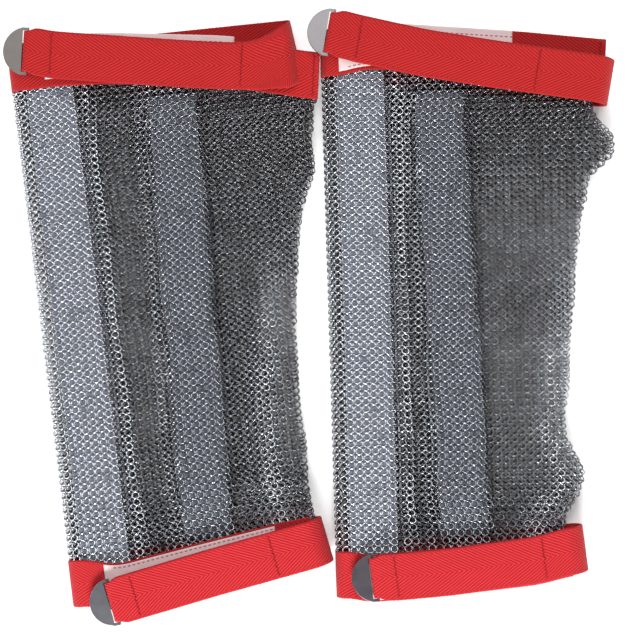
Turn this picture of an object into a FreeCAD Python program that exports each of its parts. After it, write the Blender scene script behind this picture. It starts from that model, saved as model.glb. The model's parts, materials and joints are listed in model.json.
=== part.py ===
"""A pair of chain mail forearm sleeves with textile closure straps, lying flat side by side.

Each sleeve is a tube of stainless ring mesh, flattened front on back, with stiffening stays in pockets
behind its front. A webbing band is sewn round each mouth. The band's free end loops round at the right
and lies back over the front as the closure strap, which ends in a steel hook plate.

Millimetres, +Z up, +X to the right, +Y towards the elbow end. The origin is the middle of the pair's
box, on the table. Each sub-part is one STEP file.
"""
import FreeCAD
import Part
import math
import os
from FreeCAD import Vector

# Webbing and mesh stock
WEBBING_WIDTH = 25.0
WEBBING = 1.3
MESH = 1.2
LABEL = 0.4
LABEL_WIDTH = 23.0

# The flattened tube: its side folds are half rounds
FOLD_RADIUS = 6.5
UNDER_BAND = 9.0  # how far the mesh runs under a band

# Stays
POCKET_WIDTH = 25.0
POCKET = 2.0
STAY_WIDTH = 21.0
STAY = 0.8
STAY_PLAY = 0.1
STAY_SHORTER = 4.0
STAY_ROUND = 9.5
SIDE_STAY_INSET = 13.0  # from the axis of the left fold
SIDE_STAY_END = 8.0  # how far its pocket runs under the bands

# Hook plate, and the strap's end that is folded through its slot
ROD_RADIUS = 0.7
FOLD_INSIDE = 1.0
SLOT_LENGTH = 22.0
FOLD_WIDTH = 21.4
PLATE = 1.0
PLATE_WIDTH = 25.0
PLATE_START = 2.7  # from the rod's axis
PLATE_DEPTH = 10.0
RIM = 0.35
LIP_WIDTH = 8.0
LIP_RADIUS = 1.35
LIP_LENGTH = 4.5
LIP_BACK = 0.7  # from the plate's tip
LINK_OVERLAP = 0.5  # into the plate
FOLD_TOP_OVERLAP = 1.5
FOLD_LOWER_FLAT = 7.0
FOLD_SLANT = 5.0
FOLD_SEWN = 5.0

# Stitches
STITCH_LENGTH = 2.2
STITCH_WIDTH = 0.6
STITCH_HEIGHT = 0.3
STITCH_PITCH = 3.2
STITCH_COUNT = 7
END_STITCH_INSET = 3.0

# Gaps between pieces that move past each other
GAP = 0.3
CUT_PAST = 1.0  # a channel is cut this far past both ends
FOLD_GAP = 0.4  # over the label

# Heights of the layers, from the table up
BACK_MESH_Z = WEBBING
FOLD_Z = BACK_MESH_Z + FOLD_RADIUS
MESH_TOP_Z = FOLD_Z + FOLD_RADIUS
FRONT_MESH_Z = MESH_TOP_Z - MESH
POCKET_Z = FRONT_MESH_Z - POCKET
BAND_TOP_Z = MESH_TOP_Z + WEBBING
LABEL_TOP_Z = BAND_TOP_Z + LABEL
ROD_Z = LABEL_TOP_Z + FOLD_GAP + WEBBING + FOLD_INSIDE
STRAP_Z = ROD_Z + FOLD_INSIDE
STRAP_TOP_Z = STRAP_Z + WEBBING
LOOP_RADIUS = STRAP_TOP_Z / 2


class End:
    """One end of a sleeve: its band and its closure strap. Points are in plan, in millimetres."""

    def __init__(self, away, band_left_y, band_right, hinge, strap_end, stitch_rows, label,
                 loop_shift=0.0, loop_width=WEBBING_WIDTH):
        self.band_left_y = band_left_y  # where the band's middle crosses the side fold
        self.band_right = band_right  # middle of the band's cut end
        self.hinge = hinge  # where the strap comes out of its loop
        self.strap_end = strap_end  # middle of the strap's folded end
        self.stitch_rows = stitch_rows  # distance from the folded end, and from the hinge
        self.label = label  # from and to, along the band from its left
        self.away = away  # 1 at the elbow end, -1 at the wrist end
        self.loop_shift = loop_shift  # how far the loop stands out past the strap's middle
        self.loop_width = loop_width


class Sleeve:
    """One sleeve's plan: the axes of its two side folds, its middle stay's line and its two ends."""

    def __init__(self, left_axis, right_axis, middle_stay, ends):
        self.left_axis = left_axis
        self.right_axis = right_axis
        self.middle_stay = middle_stay
        self.ends = ends


SLEEVES = {
    "a": Sleeve(
        left_axis=[(-151.7, 120.0), (-122.0, -128.0)],
        right_axis=[(-2.2, 120.0), (-14.3, -22.0), (-4.4, -111.5)],
        middle_stay=[(-74.0, 117.0), (-54.5, -118.0)],
        ends={
            "elbow": End(
                away=1,
                band_left_y=131.0,
                band_right=(4.8, 123.8),
                hinge=(-14.6, 132.0),
                strap_end=(-151.8, 139.1),
                stitch_rows=(15.3, 22.2),
                label=(12.0, 114.0),
                loop_shift=14.4,
                loop_width=17.0,
            ),
            "wrist": End(
                away=-1,
                band_left_y=-141.5,
                band_right=(2.0, -119.0),
                hinge=(-1.0, -121.5),
                strap_end=(-106.0, -151.8),
                stitch_rows=(14.0, 19.5),
                label=(12.0, 105.0),
            ),
        },
    ),
    "b": Sleeve(
        left_axis=[(13.4, 118.0), (20.8, -125.0)],
        right_axis=[(144.3, 127.0), (133.0, 0.0), (128.9, -121.0)],
        middle_stay=[(68.0, 119.0), (82.5, -117.0)],
        ends={
            "elbow": End(
                away=1,
                band_left_y=138.0,
                band_right=(156.0, 131.0),
                hinge=(149.4, 124.9),
                strap_end=(8.7, 149.2),
                stitch_rows=(17.5, 30.4),
                label=(2.0, 94.0),
            ),
            "wrist": End(
                away=-1,
                band_left_y=-137.0,
                band_right=(138.0, -125.6),
                hinge=(135.8, -124.5),
                strap_end=(32.1, -138.9),
                stitch_rows=(12.7, 13.6),
                label=(10.0, 100.0),
            ),
        },
    ),
}


def point(plan, z=0.0):
    return Vector(plan[0], plan[1], z)


def along(start, end, share):
    """The point that share of the way from start to end."""
    return tuple(a + (b - a) * share for a, b in zip(start, end))


def unit(start, end):
    length = math.dist(start, end)
    return ((end[0] - start[0]) / length, (end[1] - start[1]) / length)


def left_of(direction):
    return (-direction[1], direction[0])


def moved(plan, direction, distance):
    return (plan[0] + direction[0] * distance, plan[1] + direction[1] * distance)


def angle_of(direction):
    return math.degrees(math.atan2(direction[1], direction[0]))


def placed(shape, plan, angle):
    """A shape made at the origin along +X, turned in plan and moved to its place."""
    turned = shape.copy()
    turned.rotate(Vector(0, 0, 0), Vector(0, 0, 1), angle)
    turned.translate(point(plan))
    return turned


def on_axis(axis, y):
    """Where the straight line through the axis' two points is at y."""
    return along(axis[0], axis[1], (y - axis[0][1]) / (axis[1][1] - axis[0][1]))


def slab(corners, z, thickness):
    """A flat sheet with straight edges."""
    wire = Part.makePolygon([point(corner, z) for corner in corners + corners[:1]])
    return Part.Face(wire).extrude(Vector(0, 0, thickness))


def block(x_from, x_to, width, z_from, z_to):
    """A box about the XZ plane."""
    return Part.makeBox(x_to - x_from, width, z_to - z_from, Vector(x_from, -width / 2, z_from))


def half_ring(plan, outward, z, radius_in, radius_out):
    """An upright half-ring face whose bulge points outward in plan."""
    def at(radius, turn):
        side = moved(plan, outward, radius * math.cos(turn))
        return point(side, z + radius * math.sin(turn))

    quarter = math.pi / 2
    outer = Part.Arc(at(radius_out, -quarter), at(radius_out, 0), at(radius_out, quarter)).toShape()
    inner = Part.Arc(at(radius_in, quarter), at(radius_in, 0), at(radius_in, -quarter)).toShape()
    top = Part.makeLine(at(radius_out, quarter), at(radius_in, quarter))
    bottom = Part.makeLine(at(radius_in, -quarter), at(radius_out, -quarter))
    return Part.Face(Part.Wire([outer, top, inner, bottom]))


def arc_centre(first, middle, last):
    """The centre of the circle through three plan points."""
    circle = Part.Arc(point(first), point(middle), point(last)).toShape().Curve
    return (circle.Center.x, circle.Center.y)


def left_ends(sleeve):
    """Where the mesh ends on the axis of the left fold, at the elbow and at the wrist."""
    ends = []
    for end in sleeve.ends.values():
        inset = end.away * (WEBBING_WIDTH / 2 - UNDER_BAND)
        ends.append(on_axis(sleeve.left_axis, end.band_left_y - inset))
    return ends


def mesh_panel(sleeve, z):
    """The flat part of the ring mesh between the axes of the side folds."""
    elbow, wrist = [point(plan, z) for plan in left_ends(sleeve)]
    first, middle, last = [point(plan, z) for plan in sleeve.right_axis]
    edges = [
        Part.makeLine(elbow, first),
        Part.Arc(first, middle, last).toShape(),
        Part.makeLine(last, wrist),
        Part.makeLine(wrist, elbow),
    ]
    return Part.Face(Part.Wire(edges)).extrude(Vector(0, 0, MESH))


def mesh_left_fold(sleeve):
    """The half-round side of the tube beside the side stay, straight because the stay holds it."""
    elbow, wrist = left_ends(sleeve)
    outward = left_of(unit(wrist, elbow))
    profile = half_ring(elbow, outward, FOLD_Z, FOLD_RADIUS - MESH, FOLD_RADIUS)
    return profile.extrude(point(wrist) - point(elbow))


def mesh_right_fold(sleeve):
    """The half-round slack side of the tube, along an arc that is pulled in at mid length."""
    first, middle, last = sleeve.right_axis
    centre = arc_centre(first, middle, last)
    outward = unit(first, centre)
    profile = half_ring(first, outward, FOLD_Z, FOLD_RADIUS - MESH, FOLD_RADIUS)
    radius = math.dist(first, centre)
    turn = math.degrees(2 * math.asin(math.dist(first, last) / 2 / radius))
    return profile.revolve(point(centre), Vector(0, 0, 1), turn)


def side_stay_line(sleeve):
    """The centre line of the stay beside the left fold, parallel to it."""
    direction = unit(*sleeve.left_axis)
    line = []
    for end in sleeve.ends.values():
        inset = end.away * (WEBBING_WIDTH / 2 - SIDE_STAY_END)
        on_fold = on_axis(sleeve.left_axis, end.band_left_y - inset)
        line.append(moved(on_fold, left_of(direction), SIDE_STAY_INSET))
    return line


def pocket(line):
    """A flat tape tunnel, open at both ends, that holds a stay behind the front mesh."""
    length = math.dist(*line)
    body = block(0, length, POCKET_WIDTH, POCKET_Z, FRONT_MESH_Z)
    middle = (POCKET_Z + FRONT_MESH_Z) / 2
    half = STAY / 2 + STAY_PLAY
    channel = block(-CUT_PAST, length + CUT_PAST, STAY_WIDTH + 2 * STAY_PLAY, middle - half, middle + half)
    return placed(body.cut(channel), line[0], angle_of(unit(*line)))


def stay(line):
    """A flat spring strip with rounded ends."""
    length = math.dist(*line) - 2 * STAY_SHORTER
    middle = (POCKET_Z + FRONT_MESH_Z) / 2
    body = block(0, length, STAY_WIDTH, middle - STAY / 2, middle + STAY / 2)
    upright = [edge for edge in body.Edges if abs(edge.tangentAt(0).z) > 0.5]
    body = body.makeFillet(STAY_ROUND, upright)
    return placed(body, moved(line[0], unit(*line), STAY_SHORTER), angle_of(unit(*line)))


def band_sides(sleeve, end):
    """Where the band's two edges cross the axis of the side fold: mesh side, then open side."""
    middle = on_axis(sleeve.left_axis, end.band_left_y)
    direction = unit(sleeve.left_axis[1], sleeve.left_axis[0])
    half = end.away * WEBBING_WIDTH / 2
    return moved(middle, direction, -half), moved(middle, direction, half)


def band_front(sleeve, end):
    """The flat run on the front, from the side fold to the cut end."""
    mesh_side, open_side = band_sides(sleeve, end)
    middle = on_axis(sleeve.left_axis, end.band_left_y)
    across = left_of(unit(middle, end.band_right))
    half = end.away * WEBBING_WIDTH / 2
    right = end.band_right
    corners = [mesh_side, moved(right, across, -half), moved(right, across, half), open_side]
    return slab(corners, MESH_TOP_Z, WEBBING)


def band_back(sleeve, end):
    """The flat run on the back, from the side fold to the strap's loop."""
    mesh_side, open_side = band_sides(sleeve, end)
    across = left_of(strap_direction(end))
    half = end.away * WEBBING_WIDTH / 2
    right = loop_middle(end)
    corners = [mesh_side, moved(right, across, half), moved(right, across, -half), open_side]
    return slab(corners, 0.0, WEBBING)


def band_side(sleeve, end):
    """The band where it wraps round the side fold, from the front to the back."""
    start, finish = band_sides(sleeve, end)
    direction = unit(start, finish)
    outward = moved((0, 0), left_of(direction), end.away)
    profile = half_ring(start, outward, FOLD_Z, FOLD_RADIUS, FOLD_RADIUS + WEBBING)
    return profile.extrude(point(finish) - point(start))


def label(sleeve, end):
    """The blank cloth label that is sewn on the band's front."""
    middle = on_axis(sleeve.left_axis, end.band_left_y)
    direction = unit(middle, end.band_right)
    body = block(end.label[0], end.label[1], LABEL_WIDTH, BAND_TOP_Z, LABEL_TOP_Z)
    return placed(body, middle, angle_of(direction))


def stitch_row(x, z):
    """A row of short stitches across the webbing."""
    row = []
    first = -STITCH_PITCH * (STITCH_COUNT - 1) / 2
    for number in range(STITCH_COUNT):
        y = first + number * STITCH_PITCH
        corner = Vector(x - STITCH_WIDTH / 2, y - STITCH_LENGTH / 2, z)
        row.append(Part.makeBox(STITCH_WIDTH, STITCH_LENGTH, STITCH_HEIGHT, corner))
    return row


def band_stitches(sleeve, end):
    """The stitches that hold the band's cut end down."""
    middle = on_axis(sleeve.left_axis, end.band_left_y)
    direction = unit(middle, end.band_right)
    length = math.dist(middle, end.band_right)
    row = Part.makeCompound(stitch_row(length - END_STITCH_INSET, BAND_TOP_Z))
    return placed(row, middle, angle_of(direction))


def strap_direction(end):
    return unit(end.hinge, end.strap_end)


def loop_middle(end):
    return moved(end.hinge, left_of(strap_direction(end)), -end.loop_shift)


def rod_distance(end):
    """From the strap's hinge to the rod of the hook plate, along the strap."""
    return math.dist(end.hinge, end.strap_end) - FOLD_INSIDE - WEBBING


def strap(end):
    """The flat closure strap, from its hinge to the end fold."""
    body = block(GAP, rod_distance(end) - FOLD_TOP_OVERLAP, WEBBING_WIDTH, STRAP_Z, STRAP_TOP_Z)
    return placed(body, end.hinge, angle_of(strap_direction(end)))


def strap_stitches(end):
    """One row that sews the folded end, and one near the hinge."""
    length = math.dist(end.hinge, end.strap_end)
    rows = stitch_row(length - end.stitch_rows[0], STRAP_TOP_Z) + stitch_row(end.stitch_rows[1], STRAP_TOP_Z)
    return placed(Part.makeCompound(rows), end.hinge, angle_of(strap_direction(end)))


def strap_fold(end):
    """The strap's end, narrowed to go through the hook plate's slot and sewn back under the strap."""
    x = rod_distance(end)
    outside = FOLD_INSIDE + WEBBING
    flat_x = x - FOLD_LOWER_FLAT
    sewn_x = flat_x - FOLD_SLANT
    last_x = sewn_x - FOLD_SEWN

    def at(px, pz):
        return Vector(px, -FOLD_WIDTH / 2, pz)

    edges = [Part.Arc(at(x, ROD_Z + outside), at(x + outside, ROD_Z), at(x, ROD_Z - outside)).toShape()]
    lower = [at(x, ROD_Z - outside), at(flat_x, ROD_Z - outside), at(sewn_x, STRAP_Z - WEBBING)]
    lower += [at(last_x, STRAP_Z - WEBBING), at(last_x, STRAP_Z), at(sewn_x, STRAP_Z)]
    lower += [at(flat_x, ROD_Z - FOLD_INSIDE), at(x, ROD_Z - FOLD_INSIDE)]
    edges += [Part.makeLine(a, b) for a, b in zip(lower, lower[1:])]
    edges.append(Part.Arc(lower[-1], at(x + FOLD_INSIDE, ROD_Z), at(x, ROD_Z + FOLD_INSIDE)).toShape())
    upper = [at(x, STRAP_Z), at(x - FOLD_TOP_OVERLAP, STRAP_Z)]
    upper += [at(x - FOLD_TOP_OVERLAP, STRAP_TOP_Z), at(x, STRAP_TOP_Z)]
    edges += [Part.makeLine(a, b) for a, b in zip(upper, upper[1:])]
    body = Part.Face(Part.Wire(edges)).extrude(Vector(0, FOLD_WIDTH, 0))
    return placed(body, end.hinge, angle_of(strap_direction(end)))


def hook_plate(end):
    """A half-round steel plate with a slot, a round rod for the webbing, and a hook lip under its tip."""
    x = rod_distance(end)
    start = x + PLATE_START
    tip = start + PLATE_DEPTH
    low, high = ROD_Z - PLATE / 2, ROD_Z + PLATE / 2
    half = PLATE_WIDTH / 2
    rim = Part.Arc(Vector(start, -half, low), Vector(tip, 0, low), Vector(start, half, low)).toShape()
    straight = Part.makeLine(Vector(start, half, low), Vector(start, -half, low))
    plate = Part.Face(Part.Wire([rim, straight])).extrude(Vector(0, 0, PLATE))
    rounded = [edge for edge in plate.Edges if "Circle" in edge.Curve.TypeId]
    round_edges = [edge for edge in rounded if edge.CenterOfMass.z > ROD_Z]
    plate = plate.makeFillet(RIM, round_edges)

    link_width = (PLATE_WIDTH - SLOT_LENGTH) / 2
    for side in (-1, 1):
        y = side * (half - link_width / 2)
        link = Part.makeBox(PLATE_START + LINK_OVERLAP, link_width, PLATE, Vector(x, y - link_width / 2, low))
        plate = plate.fuse(link)
    rod = Part.makeCylinder(ROD_RADIUS, PLATE_WIDTH, Vector(x, -half, ROD_Z), Vector(0, 1, 0))
    plate = plate.fuse(rod)

    centre_x = tip - LIP_BACK - LIP_RADIUS
    bend = half_ring((0, 0), (1, 0), high - LIP_RADIUS, LIP_RADIUS - PLATE, LIP_RADIUS)
    bend = bend.extrude(Vector(0, LIP_WIDTH, 0))
    bend.translate(Vector(centre_x, -LIP_WIDTH / 2, 0))
    leg_low = high - 2 * LIP_RADIUS
    leg = block(centre_x - LIP_LENGTH, centre_x, LIP_WIDTH, leg_low, leg_low + PLATE)
    plate = plate.fuse(bend).fuse(leg).removeSplitter()
    return placed(plate, end.hinge, angle_of(strap_direction(end)))


def strap_loop(end):
    """The webbing between the back run and the strap, bent in a half round at the right."""
    direction = strap_direction(end)
    outward = (-direction[0], -direction[1])
    across = left_of(direction)
    start = moved(loop_middle(end), across, -end.loop_width / 2)
    profile = half_ring(start, outward, LOOP_RADIUS, LOOP_RADIUS - WEBBING, LOOP_RADIUS)
    return profile.extrude(point(moved((0, 0), across, end.loop_width)))


def sleeve_parts(prefix, sleeve):
    """Every sub-part of one sleeve, by node name."""
    parts = {
        prefix + "_mesh_front": mesh_panel(sleeve, FRONT_MESH_Z),
        prefix + "_mesh_back": mesh_panel(sleeve, BACK_MESH_Z),
        prefix + "_mesh_left_fold": mesh_left_fold(sleeve),
        prefix + "_mesh_right_fold": mesh_right_fold(sleeve),
    }
    for name, line in (("side", side_stay_line(sleeve)), ("middle", sleeve.middle_stay)):
        parts[prefix + "_" + name + "_pocket"] = pocket(line)
        parts[prefix + "_" + name + "_stay"] = stay(line)
    for name, end in sleeve.ends.items():
        start = prefix + "_" + name + "_"
        parts[start + "band_front"] = band_front(sleeve, end)
        parts[start + "band_back"] = band_back(sleeve, end)
        parts[start + "band_side"] = band_side(sleeve, end)
        parts[start + "band_stitches"] = band_stitches(sleeve, end)
        parts[start + "label"] = label(sleeve, end)
        parts[start + "strap_loop"] = strap_loop(end)
        parts[start + "strap"] = strap(end)
        parts[start + "strap_fold"] = strap_fold(end)
        parts[start + "strap_stitches"] = strap_stitches(end)
        parts[start + "hook_plate"] = hook_plate(end)
    return parts


def box_middle(parts):
    """The middle of the pair's box in plan, which becomes the origin."""
    box = FreeCAD.BoundBox()
    for shape in parts.values():
        box.add(shape.optimalBoundingBox(False))
    return Vector(box.Center.x, box.Center.y, box.ZMin)


PARTS = {}
for key, one_sleeve in SLEEVES.items():
    PARTS.update(sleeve_parts(key, one_sleeve))
ORIGIN = box_middle(PARTS)

os.makedirs("parts", exist_ok=True)
for node, node_shape in PARTS.items():
    node_shape.translate(-ORIGIN)
    node_shape.exportStep("parts/" + node + ".step")
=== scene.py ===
"""Looks for the pair of chain mail forearm sleeves: linked rings, webbing, labels, stitches and steel.

Metres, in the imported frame: +X to the right, +Y towards the elbow ends, +Z up, table at zero.
"""

import json
import math
from collections import namedtuple

import bpy
import numpy as np
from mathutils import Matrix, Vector
from mathutils.bvhtree import BVHTree


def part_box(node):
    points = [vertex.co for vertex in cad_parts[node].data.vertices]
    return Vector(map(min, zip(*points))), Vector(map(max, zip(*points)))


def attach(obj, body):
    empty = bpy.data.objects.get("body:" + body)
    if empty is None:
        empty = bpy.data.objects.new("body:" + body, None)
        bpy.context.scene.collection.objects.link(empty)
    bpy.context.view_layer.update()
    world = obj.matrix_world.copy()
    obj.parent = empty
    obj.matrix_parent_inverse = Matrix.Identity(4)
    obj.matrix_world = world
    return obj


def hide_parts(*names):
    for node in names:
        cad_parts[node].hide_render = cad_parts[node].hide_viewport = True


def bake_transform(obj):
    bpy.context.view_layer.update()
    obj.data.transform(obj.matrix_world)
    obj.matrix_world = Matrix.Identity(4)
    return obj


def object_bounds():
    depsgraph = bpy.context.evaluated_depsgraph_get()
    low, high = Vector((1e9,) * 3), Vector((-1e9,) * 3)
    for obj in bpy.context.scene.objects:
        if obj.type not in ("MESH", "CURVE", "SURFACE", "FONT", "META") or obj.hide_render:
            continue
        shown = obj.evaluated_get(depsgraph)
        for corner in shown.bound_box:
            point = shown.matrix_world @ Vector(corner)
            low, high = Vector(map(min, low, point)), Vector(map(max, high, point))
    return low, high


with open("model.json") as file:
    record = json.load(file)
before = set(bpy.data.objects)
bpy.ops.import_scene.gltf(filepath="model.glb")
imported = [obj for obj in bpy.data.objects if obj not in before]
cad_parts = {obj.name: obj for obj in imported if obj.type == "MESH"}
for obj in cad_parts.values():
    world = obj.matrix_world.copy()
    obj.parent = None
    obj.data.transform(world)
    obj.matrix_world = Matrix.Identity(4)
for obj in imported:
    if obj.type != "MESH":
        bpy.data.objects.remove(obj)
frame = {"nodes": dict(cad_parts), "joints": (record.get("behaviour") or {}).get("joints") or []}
CAD_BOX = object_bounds()

MM = 0.001
UP = np.array([0.0, 0.0, 1.0])

# Ring mesh: flat rings, four through each one, in rows that lean to and fro
RING_RADIUS = 1.86 * MM
WIRE_RADIUS = 0.33 * MM
RING_PITCH = 4.25 * MM
ROW_PITCH = 1.87 * MM
RAISED_LEAN = math.radians(-26)  # rows whose wrist side lies on top
TUCKED_LEAN = math.radians(46)  # the rows between, tucked under them
RAISED_BY = 0.36 * MM
RING_SEGMENTS = 14
WIRE_SIDES = 4
RINGS_IN_PIECE = 1700

# The tube's section, from the frame's folds
FOLD_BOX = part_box("a_mesh_left_fold")
RING_OFF = 0.6 * MM  # the rings' middle lies this far inside the fold's outer face
LOW_Z = FOLD_BOX[0].z + RING_OFF
HIGH_Z = FOLD_BOX[1].z - RING_OFF
FOLD_MIDDLE_Z = (LOW_Z + HIGH_Z) / 2

# The slack side's ridge, and how far from it rings are lightened as a painted highlight
RIDGE_REACH = 5.5 * MM
HIGHLIGHT_REACH = 9.5 * MM

# Pockets of the stays: half their width, and their tape
POCKET_HALF = 12.5 * MM
TAPE = 0.25 * MM
STAY_PLAY = 0.05 * MM

# Webbing
WEBBING_WIDTH = 25 * MM
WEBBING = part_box("a_elbow_band_back")[1].z
TWILL_SPACING = 1.35 * MM
TWILL_ANGLE = math.radians(31)
SELVAGE = 0.12 * MM
PLAIN_EDGE = 1.4 * MM  # the edge without twill
YARN_SPACING = 0.8 * MM
STRAP_RIPPLE = 0.22 * MM
ROD_SLACK = 0.42 * MM  # how far the fold stands off its rod, towards the hook plate
CURL_SHARE = 0.19  # the share of a strap along which its open edge curls up into the loop

# Labels and stitches
LABEL = 0.35 * MM
LABEL_WIDTH = 23 * MM
LABEL_LENGTH = 100 * MM
LINE_INSET = 2.4 * MM
LINE_HALF_WIDTH = 0.35 * MM
DASH_SPACING = 2.6 * MM
RIB_SPACING = 0.45 * MM
THREAD_RADIUS = 0.26 * MM
THREAD_SIDES = 6
STITCH_LIFT = 0.28 * MM
STITCH_SWING = 0.45 * MM
STITCHES_ACROSS = 12
STITCH_MARGIN = 3.5 * MM  # webbing left free beside a row, both sides together

SWAY_STEPS = np.linspace(-0.05, 0.05, 9)  # a sway is averaged over these shares, which rounds its corners


# Small tools

def smooth(value, start, end):
    """0 before start, 1 after end, and smooth between them."""
    share = np.clip((np.asarray(value, float) - start) / (end - start), 0, 1)
    return share * share * (3 - 2 * share)


def unit(vector):
    vector = np.asarray(vector, float)
    return vector / np.linalg.norm(vector, axis=-1, keepdims=True)


def mix(a, b, share):
    """Between a and b, for one share or a column of shares."""
    share = np.asarray(share, float)
    if share.ndim:
        share = share[:, None]
    return a + (b - a) * share


def points_of(node):
    return np.array([v.co for v in frame["nodes"][node].data.vertices], float)


def corners(node):
    """The four plan corners of a flat four-sided node: left low, left high, right low, right high in y."""
    plan = np.unique(np.round(points_of(node)[:, :2], 6), axis=0)
    by_x = plan[np.argsort(plan[:, 0])]
    left, right = by_x[:2], by_x[2:]
    left = left[np.argsort(left[:, 1])]
    right = right[np.argsort(right[:, 1])]
    return left[0], left[1], right[0], right[1]


def middle_height(node):
    low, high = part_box(node)
    return (low.z + high.z) / 2


def joint(name):
    return next(j for j in frame["joints"] if j["name"] == name)


def new_mesh(name, vertices, quads, materials, shades=None, uv=None):
    """A smooth mesh object from arrays of points, quads of point numbers and a material number a quad."""
    mesh = bpy.data.meshes.new(name)
    vertices = np.asarray(vertices, np.float32)
    quads = np.asarray(quads, np.int32)
    mesh.vertices.add(len(vertices))
    mesh.vertices.foreach_set("co", vertices.ravel())
    mesh.loops.add(quads.size)
    mesh.loops.foreach_set("vertex_index", quads.ravel())
    mesh.polygons.add(len(quads))
    mesh.polygons.foreach_set("loop_start", np.arange(0, quads.size, 4, dtype=np.int32))
    mesh.polygons.foreach_set("use_smooth", np.ones(len(quads), bool))
    for material in materials:
        mesh.materials.append(material)
    if shades is not None:
        mesh.polygons.foreach_set("material_index", np.asarray(shades, np.int32))
    if uv is not None:
        layer = mesh.uv_layers.new(name="UVMap")
        layer.data.foreach_set("uv", np.asarray(uv, np.float32)[quads.ravel()].ravel())
    mesh.update(calc_edges=True)
    mesh.validate()
    obj = bpy.data.objects.new(name, mesh)
    bpy.context.scene.collection.objects.link(obj)
    return obj


def tube_quads(rows, size, flip=False):
    """Quads between rows of points that each go once round a tube."""
    i, k = np.meshgrid(np.arange(rows - 1), np.arange(size), indexing="ij")
    after = (k + 1) % size
    near, near_next = i * size + k, i * size + after
    far, far_next = near + size, near_next + size
    order = [near, far, far_next, near_next] if flip else [near, near_next, far_next, far]
    return np.stack(order, -1).reshape(-1, 4)


# Materials

class Nodes:
    """A material's node tree, with short calls for what the materials here need."""

    def __init__(self, name):
        self.material = bpy.data.materials.new(name)
        self.material.use_nodes = True
        self.tree = self.material.node_tree
        self.shader = self.tree.nodes["Principled BSDF"]

    def set(self, **values):
        for name, value in values.items():
            self.shader.inputs[name.replace("_", " ")].default_value = value
        return self

    def join(self, output, target):
        self.tree.links.new(output, target)

    def node(self, kind, **inputs):
        made = self.tree.nodes.new("ShaderNode" + kind)
        for name, value in inputs.items():
            self.feed(made.inputs[name.replace("_", " ")], value)
        return made

    def feed(self, target, value):
        if isinstance(value, bpy.types.NodeSocket):
            self.join(value, target)
        else:
            target.default_value = value

    def math(self, operation, a, b=0.0):
        made = self.tree.nodes.new("ShaderNodeMath")
        made.operation = operation
        self.feed(made.inputs[0], a)
        self.feed(made.inputs[1], b)
        return made.outputs[0]

    def times(self, a, b):
        return self.math("MULTIPLY", a, b)

    def off(self, value, middle):
        """How far a value is from a middle one, either way."""
        return self.math("ABSOLUTE", self.math("SUBTRACT", value, middle))

    def wave(self, value, spacing):
        """A sine along a value in metres, with crests this far apart."""
        return self.math("SINE", self.times(value, math.tau / spacing))

    def cloth_places(self):
        """Places on a ribbon in metres: across it from one edge, and along it."""
        places = self.tree.nodes.new("ShaderNodeUVMap")
        places.uv_map = "UVMap"
        parts = self.node("SeparateXYZ", Vector=places.outputs[0])
        return parts.outputs[0], parts.outputs[1]

    def place(self, scale, kind="Object", stretch=(1, 1, 1)):
        """Coordinates for a texture, as so many repeats a metre."""
        coordinates = self.tree.nodes.new("ShaderNodeTexCoord")
        mapping = self.tree.nodes.new("ShaderNodeMapping")
        mapping.inputs["Scale"].default_value = [scale * s for s in stretch]
        self.join(coordinates.outputs[kind], mapping.inputs["Vector"])
        return mapping.outputs[0]

    def noise(self, scale, detail=3.0, kind="Object", stretch=(1, 1, 1)):
        made = self.node("TexNoise", Scale=1.0, Detail=detail)
        self.join(self.place(scale, kind, stretch), made.inputs["Vector"])
        return made.outputs["Fac"]

    def ramp(self, value, stops):
        made = self.tree.nodes.new("ShaderNodeValToRGB")
        self.join(value, made.inputs[0])
        elements = made.color_ramp.elements
        while len(elements) < len(stops):
            elements.new(0.5)
        for element, (place, colour) in zip(elements, stops):
            element.position = place
            element.color = (*colour, 1)
        return made.outputs[0]

    def blend(self, share, a, b):
        made = self.tree.nodes.new("ShaderNodeMix")
        made.data_type = "RGBA"
        self.feed(made.inputs["Factor"], share)
        for socket, value in ((made.inputs[6], a), (made.inputs[7], b)):
            self.feed(socket, value if isinstance(value, bpy.types.NodeSocket) else (*value, 1))
        return made.outputs[2]

    def colour(self, value):
        self.join(value, self.shader.inputs["Base Color"])

    def roughness(self, value, low, high):
        made = self.node("MapRange", To_Min=low, To_Max=high)
        self.join(value, made.inputs["Value"])
        self.join(made.outputs[0], self.shader.inputs["Roughness"])

    def bump(self, height, distance, strength=1.0):
        made = self.node("Bump", Height=height, Distance=distance, Strength=strength)
        self.join(made.outputs[0], self.shader.inputs["Normal"])


def steel_shade(number, grey, roughness):
    """One of the rings' shades of stainless wire."""
    nodes = Nodes(f"ring_steel_{number}")
    nodes.set(Base_Color=(*grey, 1), Metallic=1.0, Roughness=roughness)
    return nodes.material


def ring_steels():
    """Stainless steel in five greys: the lightest is a painted highlight, the darker ones painted shade, the
    last the back face's painted shade.
    """
    shades = [
        ((0.85, 0.885, 0.95), 0.24),
        ((0.49, 0.52, 0.575), 0.25),
        ((0.285, 0.293, 0.32), 0.26),
        ((0.17, 0.17, 0.18), 0.28),
        ((0.045, 0.043, 0.045), 0.36),
    ]
    return [steel_shade(number, grey, rough) for number, (grey, rough) in enumerate(shades)]


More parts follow.
